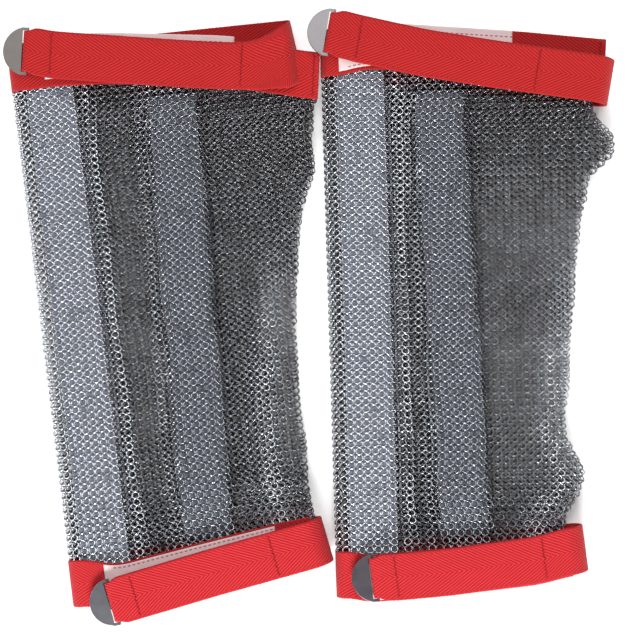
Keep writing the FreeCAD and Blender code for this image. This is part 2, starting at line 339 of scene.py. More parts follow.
def webbing_material(name, dark, light):
    """Herringbone webbing: two fields of twill meet in chevrons on the centre line, with plain selvages."""
    nodes = Nodes(name)
    aside, along = nodes.cloth_places()
    from_middle = nodes.off(aside, WEBBING_WIDTH / 2)
    across = nodes.times(from_middle, math.cos(TWILL_ANGLE) * math.tau / TWILL_SPACING)
    down = nodes.times(along, math.sin(TWILL_ANGLE) * math.tau / TWILL_SPACING)
    wobble = nodes.times(nodes.noise(160.0), 1.3)
    phase = nodes.math("ADD", nodes.math("SUBTRACT", across, down), wobble)
    twill = nodes.times(nodes.math("ADD", nodes.math("SINE", phase), 1.0), 0.5)
    yarns = nodes.times(nodes.math("ADD", nodes.wave(along, YARN_SPACING), 1.0), 0.5)
    edge = nodes.math("GREATER_THAN", from_middle, WEBBING_WIDTH / 2 - PLAIN_EDGE)
    field = nodes.math("SUBTRACT", 1.0, edge)
    weave = nodes.math("ADD", nodes.times(twill, field), nodes.times(yarns, edge))
    fine = nodes.times(nodes.noise(2600.0, 2.0), 0.45)
    weave = nodes.math("ADD", nodes.times(weave, 0.68), fine)
    base = nodes.blend(nodes.noise(45.0, 2.0), dark, light)
    # Painted light on the twill: the darker colour is painted shade in its grooves, the lighter pink one a
    # painted highlight on its ridges.
    shadow = tuple(c * 0.7 for c in dark)
    twill_highlight = tuple(min(1.0, c * 1.3 + 0.022) for c in light)
    woven = nodes.ramp(weave, [(0.12, (0, 0, 0)), (0.85, (1, 1, 1))])
    low = nodes.blend(0.75, base, shadow)
    high = nodes.blend(0.5, base, twill_highlight)
    nodes.colour(nodes.blend(woven, low, high))
    nodes.roughness(weave, 0.95, 0.72)
    nodes.bump(weave, 0.00035, 0.9)
    nodes.set(Sheen_Weight=0.08, Sheen_Roughness=0.5, Specular_IOR_Level=0.12)
    return nodes.material


def label_material():
    """White woven label cloth with a plain dashed line along each side, and no lettering."""
    nodes = Nodes("label_cloth")
    aside, along = nodes.cloth_places()
    from_side = nodes.math("SUBTRACT", LABEL_WIDTH / 2, nodes.off(aside, LABEL_WIDTH / 2))
    line = nodes.math("LESS_THAN", nodes.off(from_side, LINE_INSET), LINE_HALF_WIDTH)
    dashes = nodes.math("GREATER_THAN", nodes.wave(along, DASH_SPACING), -0.25)
    ends = nodes.math("LESS_THAN", nodes.off(along, LABEL_LENGTH / 2), LABEL_LENGTH / 2 - 4 * MM)
    printed = nodes.times(nodes.times(line, dashes), ends)
    cloth = nodes.blend(nodes.noise(60.0, 2.0), (0.88, 0.60, 0.61), (0.96, 0.84, 0.84))
    nodes.colour(nodes.blend(nodes.times(printed, 0.8), cloth, (0.45, 0.05, 0.07)))
    nodes.bump(nodes.wave(along, RIB_SPACING), 0.00006, 0.7)
    nodes.roughness(nodes.noise(400.0), 0.7, 0.9)
    nodes.set(Specular_IOR_Level=0.3)
    return nodes.material


def thread_material():
    """Twisted polyester thread, darker than the webbing."""
    nodes = Nodes("stitch_thread")
    twist = nodes.noise(1900.0, 2.0)
    nodes.colour(nodes.blend(twist, (0.18, 0.006, 0.008), (0.34, 0.018, 0.020)))
    nodes.bump(twist, 0.00008, 0.8)
    nodes.roughness(twist, 0.6, 0.85)
    nodes.set(Specular_IOR_Level=0.1)
    return nodes.material


def tape_material(name, grey):
    """Blue-grey nylon tape, plain woven."""
    dark, light, raised = (tuple(c * share for c in grey) for share in (0.75, 1.05, 1.5))
    nodes = Nodes(name)
    weave = nodes.noise(1500.0, 2.0, stretch=(1, 0.35, 1))
    broad = nodes.noise(30.0, 2.0)
    colour = nodes.blend(broad, dark, light)
    nodes.colour(nodes.blend(nodes.times(weave, 0.5), colour, raised))
    nodes.bump(weave, 0.0002, 0.7)
    nodes.roughness(weave, 0.75, 0.95)
    nodes.set(Sheen_Weight=0.15, Specular_IOR_Level=0.3)
    return nodes.material


def hook_material(name, grey, turn):
    """Tumbled stainless sheet: fine brushing along one way and cloudy wear."""
    nodes = Nodes(name)
    stretch = (18.0, 1.0, 18.0) if turn else (1.0, 18.0, 18.0)
    brushed = nodes.noise(160.0, 5.0, stretch=stretch)
    clouds = nodes.noise(130.0, 3.0)
    pale = tuple(min(1.0, c * 1.25) for c in grey)
    worn = nodes.blend(clouds, tuple(c * 0.85 for c in grey), pale)
    nodes.colour(nodes.blend(nodes.times(brushed, 0.45), worn, pale))
    wear = nodes.math("ADD", nodes.times(brushed, 0.6), nodes.times(clouds, 0.4))
    nodes.roughness(wear, 0.30, 0.52)
    nodes.bump(brushed, 0.00002, 0.5)
    nodes.set(Metallic=1.0)
    return nodes.material


def stay_material():
    """Blued spring strip with a drawn surface."""
    nodes = Nodes("spring_strip")
    drawn = nodes.noise(300.0, 4.0, stretch=(1, 0.03, 1))
    nodes.colour(nodes.blend(drawn, (0.20, 0.22, 0.25), (0.36, 0.38, 0.41)))
    nodes.roughness(drawn, 0.28, 0.5)
    nodes.set(Metallic=1.0)
    return nodes.material


def floor_material():
    nodes = Nodes("pale_table")
    grain = nodes.noise(90.0, 4.0)
    nodes.colour(nodes.blend(grain, (0.87, 0.87, 0.87), (0.90, 0.90, 0.90)))
    nodes.roughness(grain, 0.75, 0.85)
    return nodes.material


# The sleeves' outlines, read from the frame's folds

class Sway:
    """How webbing leaves its straight line: shares of its run, and millimetres to the open side."""

    def __init__(self, *stations):
        self.shares = [share for share, _ in stations]
        self.shifts = [shift * MM for _, shift in stations]

    def at(self, share):
        share = np.asarray(share, float)
        return sum(np.interp(share + step, self.shares, self.shifts) for step in SWAY_STEPS) / len(SWAY_STEPS)


# One end's webbing: its strap's sway, how late its loop turns over and curls up, and its label's slip
EndShape = namedtuple("EndShape", ["webbing", "sway", "unwound", "curl", "slip"], defaults=[0.0] * 3)

# A place where the slack side stands out past the frame's outline, or pulls in
Bulge = namedtuple("Bulge", ["y", "out", "reach", "rumple"], defaults=[0.0])


class Sleeve:
    """One sleeve in its own plan: s runs to the right from the left fold, t along it towards the elbow."""

    def __init__(self, key, bulges, hems, sag, seed):
        self.key = key
        self.bulges = bulges
        self.hems = hems
        self.sag = sag
        self.seed = seed
        left = self.silhouette("_mesh_left_fold", -1)
        self.origin = left[0]
        self.length = float(np.linalg.norm(left[-1] - left[0]))
        self.t_way = unit(left[-1] - left[0])
        self.s_way = np.array([self.t_way[1], -self.t_way[0]])
        self.right = self.to_st(self.silhouette("_mesh_right_fold", 1))
        panel = self.to_st(np.array(self.panel_corners()))
        self.wrist_line, self.elbow_line = panel[:2], panel[2:]
        self.stays = [self.to_st(self.stay_line(name)) for name in ("_side_pocket", "_middle_pocket")]

    def silhouette(self, node, side):
        """The outermost plan points of a fold, from the wrist to the elbow."""
        mesh = frame["nodes"][self.key + node].data
        tree = BVHTree.FromPolygons([v.co for v in mesh.vertices], [p.vertices[:] for p in mesh.polygons])
        low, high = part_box(self.key + node)
        found = []
        for y in np.linspace(low.y + 2 * MM, high.y - 2 * MM, 40):
            hit = tree.ray_cast(Vector((side, y, FOLD_MIDDLE_Z)), Vector((-side, 0, 0)))[0]
            if hit:
                found.append((hit.x, hit.y))
        return np.array(found)

    def panel_corners(self):
        """The front panel's corners: wrist left, wrist right, elbow left, elbow right."""
        plan = points_of(self.key + "_mesh_front")[:, :2]
        slope = np.array([0.3, 1.0])
        height = plan @ slope
        lean = plan @ np.array([-0.9, 1.0])
        return plan[np.argmin(height)], plan[np.argmin(lean)], plan[np.argmax(lean)], plan[np.argmax(height)]

    def stay_line(self, node):
        """The middle of a pocket's wrist end and of its elbow end."""
        plan = points_of(self.key + node)[:, :2]
        order = plan[np.argsort(plan[:, 1])]
        half = len(order) // 2
        return np.array([order[:half].mean(0), order[half:].mean(0)])

    def to_st(self, plan):
        away = np.asarray(plan) - self.origin
        return np.stack([away @ self.s_way, away @ self.t_way], -1)

    def to_plan(self, s, t):
        return self.origin + np.asarray(s)[..., None] * self.s_way + np.asarray(t)[..., None] * self.t_way

    def right_edge(self, t):
        """How far the slack side is from the left fold, at t."""
        edge = np.interp(t, self.right[:, 1], self.right[:, 0])
        y = self.origin[1] + t * self.t_way[1] + edge * self.s_way[1]
        for bulge in self.bulges:
            share = 1 - smooth(np.abs(y - bulge.y), 0, bulge.reach)
            edge = edge + bulge.out * share
            edge = edge + bulge.rumple * share * np.sin(y / (1.9 * MM))
        return edge + 0.5 * MM * np.sin(t / (9 * MM) + self.seed) * np.sin(t / (23 * MM))

    def mouth(self, end, s):
        """Where a mouth's edge is at s, under its band."""
        line = self.elbow_line if end == "elbow" else self.wrist_line
        share = (s - line[0, 0]) / (line[1, 0] - line[0, 0])
        shift = self.hems[end].at(share) * (1 if end == "elbow" else -1)
        return line[0, 1] + (line[1, 1] - line[0, 1]) * share + shift

    def slack(self, s, t):
        """From 0 at the mouths, where bands hold the tube open, to 1 along its middle."""
        near = np.minimum(t - self.mouth("wrist", s), self.mouth("elbow", s) - t)
        return smooth(near, 6 * MM, 42 * MM)

    def beside(self, number, s, t):
        """How far s is past the edge of a stay's pocket, to its right and to its left."""
        stay = self.stays[number]
        off = s - np.interp(t, stay[:, 1], stay[:, 0])
        return off - POCKET_HALF, -off - POCKET_HALF

    def on_stays(self, s, t):
        """1 over a stay and beside the left fold, 0 where the mesh hangs free."""
        held = np.zeros_like(s)
        for number in range(2):
            right, left = self.beside(number, s, t)
            over = 1 - smooth(right, -0.5 * MM, 2.5 * MM)
            if number:
                over = over * (1 - smooth(left, -0.5 * MM, 2.5 * MM))
            held = np.maximum(held, over)
        return held

    def ridges(self, s, t, reach):
        """The folds of slack mesh: two beside the pockets, and one of this reach along the slack side."""
        first = self.beside(0, s, t)[0]
        last = self.beside(1, s, t)[1]
        near = np.exp(-((first - 6.5 * MM) / (3.6 * MM)) ** 2)
        near = near + 0.6 * np.exp(-((last - 5.0 * MM) / (3.4 * MM)) ** 2)
        inward = self.right_edge(t) - s - 13 * MM - 7 * MM * np.sin(t / (52 * MM) + 1.3 * self.seed)
        wristward = 1 - smooth(t, 0.35 * self.length, 0.8 * self.length)
        return near + 0.9 * wristward * np.exp(-(inward / reach) ** 2)

    def front_z(self, s, t, edge):
        """The front mesh's height: held up by the stays, slack between them, low at the right."""
        held = self.on_stays(s, t)
        waves = np.sin(s / (3.3 * MM) + 1.6 * np.sin(t / (31 * MM) + self.seed) + self.seed)
        waves = waves * (0.6 + 0.4 * np.sin(t / (47 * MM) + s / (29 * MM)))
        cross = np.sin(t / (12 * MM) + 2.2 * np.sin(s / (21 * MM)) + 2 * self.seed)
        drop = self.sag * (0.86 + 0.10 * waves + 0.07 * cross)
        drop = drop * (1 - 0.88 * self.ridges(s, t, RIDGE_REACH))
        low = HIGH_Z - drop * (0.35 + 0.65 * self.slack(s, t))
        z = HIGH_Z - (HIGH_Z - low) * (1 - held)
        rim = LOW_Z + 2 * self.fold_radius(t)
        near_rim = smooth(s, edge - 17 * MM, edge - 4 * MM)
        return z + (rim - z) * near_rim * (1 - held)

    def fold_radius(self, t):
        """The slack side's fold: tight along the middle, open at the mouths."""
        full = (HIGH_Z - LOW_Z) / 2
        return full - (full - 3.4 * MM) * self.slack(self.right[:, 0].mean(), t)


SLEEVES = [
    Sleeve("a", [
        Bulge(78 * MM, 4.5 * MM, 20 * MM),
        Bulge(-70 * MM, 1.5 * MM, 24 * MM),
        Bulge(112 * MM, -1.0 * MM, 12 * MM),
    ], {
        "elbow": Sway((0, 0), (0.1, 3.3), (0.3, 6.0), (0.7, 7.2), (0.88, 4.4), (1, 2.5)),
        "wrist": Sway((0, 0), (0.15, 6.4), (0.5, 3.2), (0.84, 0.5), (1, 0)),
    }, 6.6 * MM, 0.4),
    Sleeve("b", [
        Bulge(91 * MM, 15.5 * MM, 24 * MM, 0.5 * MM),
        Bulge(64 * MM, 3.0 * MM, 16 * MM),
        Bulge(-86 * MM, 9.5 * MM, 25 * MM, 0.4 * MM),
        Bulge(-50 * MM, -1.5 * MM, 16 * MM),
    ], {
        "elbow": Sway((0, 0.5), (0.12, 5.8), (0.4, 5.0), (0.7, 4.4), (1, 2.4)),
        "wrist": Sway((0, 0), (0.07, 3.7), (0.5, 4.0), (0.85, 3.0), (1, 0)),
    }, 6.4 * MM, 1.9),
]


# Ring mesh

def ring_template():
    """One ring about the origin in the plane of x and y, as points and quads."""
    turns = np.arange(RING_SEGMENTS) * math.tau / RING_SEGMENTS
    rounds = np.arange(WIRE_SIDES) * math.tau / WIRE_SIDES + math.pi / WIRE_SIDES
    radius = RING_RADIUS + WIRE_RADIUS * np.cos(rounds)[None, :]
    x = radius * np.cos(turns)[:, None]
    y = radius * np.sin(turns)[:, None]
    z = np.broadcast_to(WIRE_RADIUS * np.sin(rounds)[None, :], x.shape)
    points = np.stack([x, y, z], -1).reshape(-1, 3)
    i, k = np.meshgrid(np.arange(RING_SEGMENTS), np.arange(WIRE_SIDES), indexing="ij")
    after_i, after_k = (i + 1) % RING_SEGMENTS, (k + 1) % WIRE_SIDES
    quads = np.stack([i * WIRE_SIDES + k, after_i * WIRE_SIDES + k,
                      after_i * WIRE_SIDES + after_k, i * WIRE_SIDES + after_k], -1)
    return points, quads.reshape(-1, 4)


def section(sleeve, t, front):
    """The front or back half of the tube's section at t, as s and z values from fold to fold."""
    edge = float(sleeve.right_edge(np.array([t]))[0])
    inner = RING_OFF
    radius = (HIGH_Z - LOW_Z) / 2
    sign = 1 if front else -1
    turn = np.linspace(0, math.pi / 2, 14)
    left_s = inner + radius * (1 - np.cos(turn))
    left_z = FOLD_MIDDLE_Z + sign * radius * np.sin(turn)
    right_radius = float(sleeve.fold_radius(np.array([t]))[0])
    right_s = edge - inner - right_radius + right_radius * np.sin(turn)
    right_z = LOW_Z + right_radius + sign * right_radius * np.cos(turn)
    flat_s = np.linspace(left_s[-1], right_s[0], 160)[1:-1]
    if front:
        flat_z = sleeve.front_z(flat_s, np.full_like(flat_s, t), edge)
    else:
        flat_z = np.full_like(flat_s, LOW_Z)
    return np.concatenate([left_s, flat_s, right_s]), np.concatenate([left_z, flat_z, right_z])


def ring_grid(sleeve, front):
    """Where each ring's middle is, as rows by columns, with a mask of the rings that are there."""
    low = min(sleeve.wrist_line[:, 1]) - 10 * MM
    high = max(sleeve.elbow_line[:, 1]) + 10 * MM
    rows = int((high - low) / ROW_PITCH)
    columns = int(0.2 / RING_PITCH)
    places = np.zeros((rows, columns, 3))
    there = np.zeros((rows, columns), bool)
    for row in range(rows):
        t = low + row * ROW_PITCH
        s, z = section(sleeve, t, front)
        run = np.concatenate([[0], np.cumsum(np.hypot(np.diff(s), np.diff(z)))])
        offset = 0.25 if row % 2 else 0.75
        if not front:
            offset = 1 - offset
        at = (np.arange(columns) + offset) * RING_PITCH
        ring_s = np.interp(at, run, s)
        ring_z = np.interp(at, run, z)
        plan = sleeve.to_plan(ring_s, np.full(columns, t))
        places[row, :, :2] = plan
        places[row, :, 2] = ring_z
        inside = (t > sleeve.mouth("wrist", ring_s)) & (t < sleeve.mouth("elbow", ring_s))
        there[row] = (at < run[-1] - 0.2 * RING_PITCH) & inside
        past = at >= run[-1]
        places[row, past] = places[row, ~past][-1] + 0.01 * MM
    return places, there


def ring_frames(places, there, front, chance):
    """Each ring's middle and its three axes: along the row, along the sleeve, and out of its plane."""
    row_way = np.zeros_like(places)
    row_way[:, 1:-1] = places[:, 2:] - places[:, :-2]
    row_way[:, 0] = places[:, 1] - places[:, 0]
    row_way[:, -1] = row_way[:, -2]
    short = np.linalg.norm(row_way, axis=-1) < 0.3 * RING_PITCH
    for _ in range(3):
        row_way[:, 1:][short[:, 1:]] = row_way[:, :-1][short[:, 1:]]
    row_way = unit(row_way + 1e-12)
    sleeve_way = np.zeros_like(places)
    sleeve_way[2:-2] = places[4:] - places[:-4]
    sleeve_way[:2], sleeve_way[-2:] = sleeve_way[2], sleeve_way[-3]
    sleeve_way = sleeve_way - row_way * (sleeve_way * row_way).sum(-1, keepdims=True)
    sleeve_way = unit(sleeve_way + 1e-12)
    out = np.cross(row_way, sleeve_way)
    raised = (np.arange(len(there)) % 2 == 0)[:, None, None]
    places = places + out * np.where(raised, RAISED_BY, -RAISED_BY) * (1 if front else -1)
    lean = np.where(raised[..., 0], RAISED_LEAN, TUCKED_LEAN) + chance.normal(0, 0.025, there.shape)
    if not front:
        lean = -lean
    yaw = chance.normal(0, 0.035, there.shape)
    roll = chance.normal(0, 0.03, there.shape)
    c, s = np.cos(lean)[..., None], np.sin(lean)[..., None]
    y_axis = sleeve_way * c + out * s
    z_axis = out * c - sleeve_way * s
    x_axis = row_way + y_axis * yaw[..., None] + z_axis * roll[..., None]
    x_axis = unit(x_axis)
    y_axis = unit(y_axis - x_axis * (x_axis * y_axis).sum(-1, keepdims=True))
    z_axis = np.cross(x_axis, y_axis)
    on_top = np.broadcast_to(raised[..., 0], there.shape)[there]
    return places[there], x_axis[there], y_axis[there], z_axis[there], on_top


def ring_kinds(sleeve, middles, on_top, front, chance):
    """Each ring's steel: lighter as a painted highlight where it stands proud and in raised rows, darker as
    painted shade in the slack and in tucked rows, darkest on the back face as painted shade of the tube's
    inside.
    """
    if not front:
        # Painted shade: every back-face ring takes the darkest steel, for the dark inside of the tube.
        return np.full(len(middles), 4)
    drawn = chance.random(len(middles)) - 0.5
    st = sleeve.to_st(middles[:, :2])
    held = sleeve.on_stays(st[:, 0], st[:, 1])
    ridged = sleeve.ridges(st[:, 0], st[:, 1], HIGHLIGHT_REACH)
    first = sleeve.beside(1, st[:, 0], st[:, 1])[1] > 0
    # Painted highlight: full over the side stay and on the ridges, 0.55 over the middle stay and the rest.
    proud = np.maximum(held * np.where(first, 1.0, 0.55), ridged)
    # Raised rows get a further painted highlight, tucked rows stay darker as painted shade; drawn is the
    # wire's random tone.
    level = 0.10 + 0.26 * proud + on_top * (0.25 + 0.48 * proud) + 0.3 * drawn
    return np.clip(np.digitize(-level, [-0.95, -0.62, -0.34]), 0, 3)


def ring_pieces(sleeve, face, steels):
    """All the rings of one face, in pieces along the sleeve."""
    front = face == "front"
    chance = np.random.default_rng(int(10 * sleeve.seed) + (1 if front else 2))
    places, there = ring_grid(sleeve, front)
    middles, x_axis, y_axis, z_axis, on_top = ring_frames(places, there, front, chance)
    middles = middles + chance.normal(0, 0.025 * MM, middles.shape)
    kinds = ring_kinds(sleeve, middles, on_top, front, chance)
    points, quads = ring_template()
    count = math.ceil(len(middles) / RINGS_IN_PIECE)
    for number, chosen in enumerate(np.array_split(np.arange(len(middles)), count)):
        vertices = (middles[chosen][:, None]
                    + points[None, :, 0:1] * x_axis[chosen][:, None]
                    + points[None, :, 1:2] * y_axis[chosen][:, None]
                    + points[None, :, 2:3] * z_axis[chosen][:, None]).reshape(-1, 3)
        starts = np.arange(len(chosen))[:, None, None] * len(points)
        faces = (quads[None] + starts).reshape(-1, 4)
        shades = np.repeat(kinds[chosen], len(quads))
        obj = new_mesh(f"{sleeve.key}_rings_{face}_{number + 1}", vertices, faces, steels, shades)
        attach(obj, "sleeve_" + sleeve.key)
    if front:
        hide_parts(*(sleeve.key + "_mesh_" + part for part in ("front", "left_fold", "right_fold")))
    else:
        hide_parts(sleeve.key + "_mesh_back")


# Ribbons: webbing, labels and tapes between two edge lines

CROSS = np.array([0.0, 0.012, 0.035, 0.07, 0.12, 0.25, 0.4, 0.5, 0.6, 0.75, 0.88, 0.93, 0.965, 0.988, 1.0])


def resampled(rails, step):
    """Both edge lines at even steps along the middle between them."""
    middle = rails.mean(0)
    run = np.concatenate([[0], np.cumsum(np.linalg.norm(np.diff(middle, axis=0), axis=1))])
    count = max(3, int(run[-1] / step) + 1)
    at = np.linspace(0, run[-1], count)
    return np.stack([np.stack([np.interp(at, run, rail[:, k]) for k in range(3)], -1) for rail in rails]), at


def softened(rails, times):
    """The edge lines with their corners rounded, ends kept."""
    for _ in range(times):
        rails = rails.copy()
        rails[:, 1:-1] = rails[:, 1:-1] * 0.5 + (rails[:, :-2] + rails[:, 2:]) * 0.25
    return rails


def ribbon(name, rails, thickness, material, step=1.0 * MM, selvage=0.0, soften=3):
    """A closed woven strip between two edge lines, rounded at its edges. UVs are in metres."""
    rails, run = resampled(np.asarray(rails, float), step)
    rails = softened(rails, soften)
    along = unit(np.gradient(rails.mean(0), axis=0))
    across = unit(rails[1] - rails[0])
    normal = unit(np.cross(across, along))
    width = np.linalg.norm(rails[1] - rails[0], axis=1)
    from_edge = np.minimum(CROSS, 1 - CROSS) * WEBBING_WIDTH
    edge = np.clip(from_edge / (thickness * 0.5), 0, 1)
    half = thickness / 2 * np.sqrt(1 - (1 - edge) ** 2) * 0.98 + thickness * 0.01
    half = half + selvage * 0.35 * np.exp(-((from_edge - 0.5 * MM) / (0.45 * MM)) ** 2)
    teeth = selvage * np.where(np.arange(len(run)) % 2, 1.0, -1.0)
    spread = np.where(CROSS < 0.03, -1.0, np.where(CROSS > 0.97, 1.0, 0.0))
    top = []
    bottom = []
    for share, h, side in zip(CROSS, half, spread):
        middle = rails[0] + (rails[1] - rails[0]) * share + across * (side * teeth)[:, None] * 0.5
        top.append(middle + normal * h)
        bottom.append(middle - normal * h)
    loop = np.stack(top + bottom[::-1], 1)
    stations, size = loop.shape[:2]
    vertices = loop.reshape(-1, 3)
    caps = []
    half_size = size // 2
    for k in range(half_size - 1):
        near, far = k, size - 1 - k
        caps.append([near + 1, near, far, far - 1])
        last = (stations - 1) * size
        caps.append([last + near, last + near + 1, last + far - 1, last + far])
    quads = np.concatenate([tube_quads(stations, size), np.array(caps)])
    shares = np.concatenate([CROSS, CROSS[::-1]])
    u = (shares[None, :] - 0.5) * width[:, None] + WEBBING_WIDTH / 2
    v = np.broadcast_to(run[:, None], u.shape)
    uv = np.stack([u, v], -1).reshape(-1, 2)
    obj = new_mesh(name, vertices, quads, [material], uv=uv)
    return obj, rails, run


def line(start, end, count):
    return mix(np.asarray(start, float), np.asarray(end, float), np.linspace(0, 1, count))


def at_height(plan, z):
    plan = np.atleast_2d(plan)
    return np.concatenate([plan, np.full((len(plan), 1), z)], 1)


class EndLines:
    """The run of one end's webbing, read from the frame: mesh side first, then open side."""

    def __init__(self, sleeve, end, slip):
        self.sleeve = sleeve
        self.slip = slip  # how far the label is sewn off the band's middle, towards the open side
        self.key = sleeve.key + "_" + end + "_"
        self.elbow = end == "elbow"
        swing = joint(self.key + "strap_swing")
        tilt = joint(self.key + "hook_tilt")
        self.hinge = np.array(swing["pos_m"])
        self.rod = np.array(tilt["pos_m"])
        self.way = unit((self.rod - self.hinge)[:2])
        axis = np.array(swing["axis"][:2])
        self.across = axis if self.elbow else -axis  # towards the open side
        self.hem = sleeve.hems[end]
        self.front = self.pairs("band_front")
        self.back = self.pairs("band_back")
        back_middle = self.back[1].mean(0)
        self.back_end = [back_middle + self.across * off * 0.97 * WEBBING_WIDTH for off in (-0.5, 0.5)]
        self.open_way = unit(self.front[0, 1] - self.front[0, 0])
        self.front_z = middle_height(self.key + "band_front")
        self.strap_z = middle_height(self.key + "strap")
        self.strap_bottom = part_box(self.key + "strap")[0].z

    def pairs(self, node):
        """The node's left and right corners, each as mesh side then open side."""
        left_low, left_high, right_low, right_high = corners(self.key + node)
        if self.elbow:
            return np.array([[left_low, left_high], [right_low, right_high]])
        return np.array([[left_high, left_low], [right_high, right_low]])

    def band_rails(self):
        """From the cut end on the front, round the left fold, to the loop on the back."""
        outward = -self.sleeve.s_way
        radius = (self.front_z - WEBBING / 2) / 2
        middle_z = (self.front_z + WEBBING / 2) / 2
        rails = []
        for side in (0, 1):
            front_left = self.front_point(0, side)
            back_left = self.back[0, side] + self.open_way * self.hem.at(0)
            turn = np.linspace(0, math.pi, 24)[1:-1]
            plan = mix(front_left, back_left, turn / math.pi) + outward * np.sin(turn)[:, None] * radius
            z = middle_z + radius * np.cos(turn)
            rails.append(np.concatenate([
                at_height(self.front_point(np.linspace(1, 0, 100), side), self.front_z),
                np.concatenate([plan, z[:, None]], 1),
                at_height(line(back_left, self.back_end[side], 60), WEBBING / 2),
            ]))
        return np.array(rails)

    def front_point(self, share, side):
        """Plan points of the band's front run: share from its left, and side from 0 at the mesh to 1."""
        share = np.asarray(share, float)
        left = mix(self.front[0, 0], self.front[0, 1], side)
        right = mix(self.front[1, 0], self.front[1, 1], side)
        if not share.ndim:
            return left + (right - left) * share + self.open_way * self.hem.at(share)
        return mix(left, right, share) + self.hem.at(share)[:, None] * self.open_way

    def on_front(self, plan):
        """The front run's way, and where plan points are on it: share from its left, and off its middle."""
        left, right = self.front[0].mean(0), self.front[1].mean(0)
        way = unit(right - left)
        share = (plan - left) @ way / np.linalg.norm(right - left)
        return way, share, (plan - left) @ np.array([-way[1], way[0]])

    def strap_frame(self, distance, off, z):
        """Points by distance from the hinge along the strap, and off its middle towards the open side."""
        along = np.asarray(distance)[:, None] * self.way
        plan = self.hinge[:2] + along + np.asarray(off)[:, None] * self.across
        return np.concatenate([plan, np.asarray(z)[:, None]], 1)

    def strap_rails(self, sway, unwound, curl):
        """From the end of the back run, round the loop, along the strap, and round the hook's rod."""
        reach = float(np.linalg.norm((self.rod - self.hinge)[:2]))
        radius = (self.strap_z - WEBBING / 2) / 2
        middle_z = (self.strap_z + WEBBING / 2) / 2
        fold_width = np.ptp(points_of(self.key + "strap_fold") @ np.array([*self.across, 0.0]))
        fold_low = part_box(self.key + "strap_fold")[0].z + WEBBING / 2
        rod_radius = (self.strap_z - fold_low) / 2
        rails = []
        for side, off in ((0, -0.5), (1, 0.5)):
            back_end = self.back_end[side]
            top_start = self.hinge[:2] + self.across * (off * WEBBING_WIDTH + sway.at(0) + side * curl)
            turn = np.linspace(0, math.pi, 40)
            eased = smooth(turn, 0.25 + unwound, math.pi - 0.1)
            out = (radius - 0.85 * side * curl) * np.sin(turn)
            plan = mix(back_end, top_start, eased) - self.way * out[:, None]
            z = middle_z - radius * np.cos(turn)
            loop = np.concatenate([plan, z[:, None]], 1)
            distance = np.linspace(0, reach, 90)[1:]
            share = distance / reach
            curled = side * curl * np.clip(1 - share / CURL_SHARE, 0, 1) ** 2
            shift = sway.at(share) * (1 - smooth(share, 0.9, 1.0)) + curled
            high = self.strap_z + STRAP_RIPPLE * np.sin(math.pi * share) ** 2 * np.sin(share * 9.0)
            gathered = smooth(distance, reach - 4.0 * MM, reach - 1.0 * MM)
            width = WEBBING_WIDTH + (fold_width - WEBBING_WIDTH) * gathered
            flat = self.strap_frame(distance, off * width + shift, high)
            round_turn = np.linspace(0, math.pi, 12)[1:]
            past_rod = (rod_radius + ROD_SLACK) * np.sin(round_turn)
            rod_z = self.strap_z - rod_radius + rod_radius * np.cos(round_turn)
            rod = self.strap_frame(reach + past_rod, np.full(len(round_turn), off * fold_width), rod_z)
            back = np.array([7.0, 12.0, 17.0]) * MM
            sewn_z = np.array([fold_low, self.strap_bottom - WEBBING / 2, self.strap_bottom - WEBBING / 2])
            under = self.strap_frame(reach - back, np.full(3, off * fold_width), sewn_z)
            under = np.concatenate([line(rod[-1], under[0], 8)[1:], line(under[0], under[1], 8)[1:],
                                    line(under[1], under[2], 6)[1:]])
            rails.append(np.concatenate([loop, flat, rod, under]))
        return np.array(rails)


# Stitches

def thread_tube(lines, name, material):
    """Short threads along lines of points, as one mesh with closed ends."""
    vertices, quads, start = [], [], 0
    turns = np.arange(THREAD_SIDES) * math.tau / THREAD_SIDES
    for path in lines:
        path = np.asarray(path)
        way = unit(np.gradient(path, axis=0))
        side = unit(np.cross(way, UP) + 1e-9)
        top = np.cross(side, way)
        taper = np.sin(np.linspace(0.12, math.pi - 0.12, len(path))) ** 0.35
        ring = (side[:, None] * np.cos(turns)[None, :, None] + top[:, None] * np.sin(turns)[None, :, None])
        points = path[:, None] + ring * (THREAD_RADIUS * taper)[:, None, None]
        vertices.append(points.reshape(-1, 3))
        near_end = np.array([[0, 1, 2, 5], [2, 3, 4, 5]])
        far_end = np.array([[5, 2, 1, 0], [5, 4, 3, 2]]) + (len(path) - 1) * THREAD_SIDES
        made = tube_quads(len(path), THREAD_SIDES, flip=True)
        quads.append(np.concatenate([made, near_end, far_end]) + start)
        start += len(path) * THREAD_SIDES
    return new_mesh(name, np.concatenate(vertices), np.concatenate(quads), [material])


def stitch(start, end):
    """A stitch between two points, arched over the cloth."""
    share = np.linspace(0, 1, 7)
    path = mix(np.asarray(start), np.asarray(end), share)
    path[:, 2] += STITCH_LIFT * (np.sin(math.pi * share) - 0.45)
    return path


def zigzag(place, across, along, z):
    """A zigzag row of stitches across the webbing."""
    half = (WEBBING_WIDTH - STITCH_MARGIN) / 2
    swings = np.where(np.arange(STITCHES_ACROSS + 1) % 2, STITCH_SWING, -STITCH_SWING)
    offs = np.linspace(-half, half, STITCHES_ACROSS + 1)
    turns = [np.array([*(place + across * off + along * swing), z]) for off, swing in zip(offs, swings)]
    return [stitch(a, b) for a, b in zip(turns, turns[1:])]


# One end's pieces

def strap_stitch_rows(lines):
    """How far along the strap the frame's two stitch rows are."""
    away = (points_of(lines.key + "strap_stitches")[:, :2] - lines.hinge[:2]) @ lines.way
    middle = (away.min() + away.max()) / 2
    return [away[away < middle].mean(), away[away > middle].mean()]


